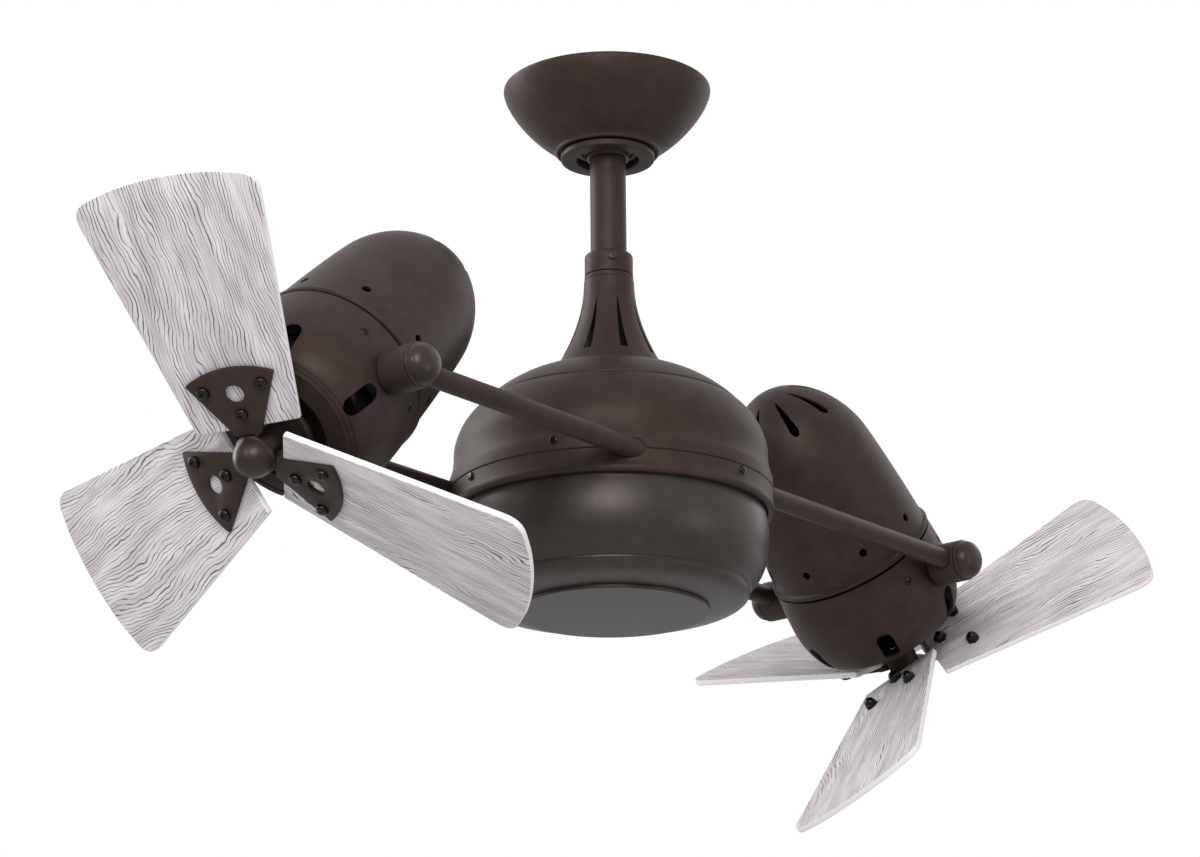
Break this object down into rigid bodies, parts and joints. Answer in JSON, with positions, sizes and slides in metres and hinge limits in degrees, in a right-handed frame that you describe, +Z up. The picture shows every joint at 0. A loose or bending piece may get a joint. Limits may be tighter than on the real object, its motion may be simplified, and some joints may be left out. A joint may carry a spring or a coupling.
{
  "type": "twin head ceiling fan",
  "caption": "Ceiling fan with tilting motor heads on a pair of rods that turn about a central downrod, with wood blades on fan-shaped brackets.",
  "frame": {"origin": "centre of the ceiling face of the hanger bracket, on the axis of the downrod", "axes": "+Z up into the ceiling along the downrod, X along the two support rods at rest, Y along the tilt axes of the heads"},
  "size_m": [0.9596, 0.3693, 0.5027],
  "materials": {
    "bronze_paint": "textured oil-rubbed bronze paint",
    "bronze_gloss": "smooth satin bronze paint",
    "gunmetal_paint": "matt gunmetal paint",
    "zinc_steel": "zinc plated",
    "cast_iron": "as cast",
    "nylon": "moulded",
    "brass": "turned",
    "barnwood": "bleached barnwood grain"
  },
  "bodies": {
    "ceiling_mount": {"hanger_bracket": "zinc_steel", "canopy": "bronze_paint", "trim_ring": "bronze_paint", "canopy_screw_1": "zinc_steel", "canopy_screw_2": "zinc_steel"},
    "hanging_rod": {"hanger_ball": "zinc_steel", "ball_pin": "zinc_steel", "downrod": "bronze_paint", "rod_collar": "bronze_paint", "spindle": "zinc_steel", "spindle_nut": "zinc_steel", "contact_drum": "brass"},
    "rotating_body": {"neck_cover": "bronze_paint", "upper_housing": "bronze_paint", "lower_ring": "bronze_paint", "bowl_cover": "gunmetal_paint", "blanking_disc": "gunmetal_paint", "chassis": "cast_iron", "brush_block": "nylon", "upper_bearing": "zinc_steel", "lower_bearing": "zinc_steel", "support_rod_front": "bronze_paint", "support_rod_rear": "bronze_paint", "pivot_boss_a1": "bronze_paint", "pivot_boss_a2": "bronze_paint", "pivot_boss_b1": "bronze_paint", "pivot_boss_b2": "bronze_paint", "boss_cap_a1": "bronze_gloss", "boss_cap_a2": "bronze_gloss", "boss_cap_b1": "bronze_gloss", "boss_cap_b2": "bronze_gloss"},
    "head_a": {"rear_shell_a": "bronze_paint", "front_shell_a": "bronze_paint", "motor_cradle_a": "cast_iron", "motor_stator_a": "cast_iron"},
    "head_b": {"rear_shell_b": "bronze_paint", "front_shell_b": "bronze_paint", "motor_cradle_b": "cast_iron", "motor_stator_b": "cast_iron"},
    "rotor_a": {"motor_rotor_a": "bronze_paint", "spinner_a": "bronze_gloss", "blade_a1": "barnwood", "blade_a2": "barnwood", "blade_a3": "barnwood", "blade_bracket_a1": "bronze_paint", "blade_bracket_a2": "bronze_paint", "blade_bracket_a3": "bronze_paint"},
    "rotor_b": {"motor_rotor_b": "bronze_paint", "spinner_b": "bronze_gloss", "blade_b1": "barnwood", "blade_b2": "barnwood", "blade_b3": "barnwood", "blade_bracket_b1": "bronze_paint", "blade_bracket_b2": "bronze_paint", "blade_bracket_b3": "bronze_paint"}
  },
  "joints": [
    {"name": "hanger_swing", "type": "hinge", "parent": "ceiling_mount", "child": "hanging_rod", "pos_m": [0, 0, -0.03], "axis": [0, 1, 0], "range_deg": [-15, 15]},
    {"name": "axial_spin", "type": "hinge", "parent": "hanging_rod", "child": "rotating_body", "pos_m": [0, 0, -0.3017], "axis": [0, 0, 1], "continuous": true},
    {"name": "head_tilt_a", "type": "hinge", "parent": "rotating_body", "child": "head_a", "pos_m": [0.3, 0, -0.3017], "axis": [0, -1, 0], "range_deg": [-45, 135]},
    {"name": "head_tilt_b", "type": "hinge", "parent": "rotating_body", "child": "head_b", "pos_m": [-0.3, 0, -0.3017], "axis": [0, 1, 0], "range_deg": [-45, 135]},
    {"name": "rotor_spin_a", "type": "hinge", "parent": "head_a", "child": "rotor_a", "pos_m": [0.3, 0, -0.3017], "axis": [0.7071, 0, -0.7071], "continuous": true},
    {"name": "rotor_spin_b", "type": "hinge", "parent": "head_b", "child": "rotor_b", "pos_m": [-0.3, 0, -0.3017], "axis": [-0.7071, 0, -0.7071], "continuous": true}
  ]
}
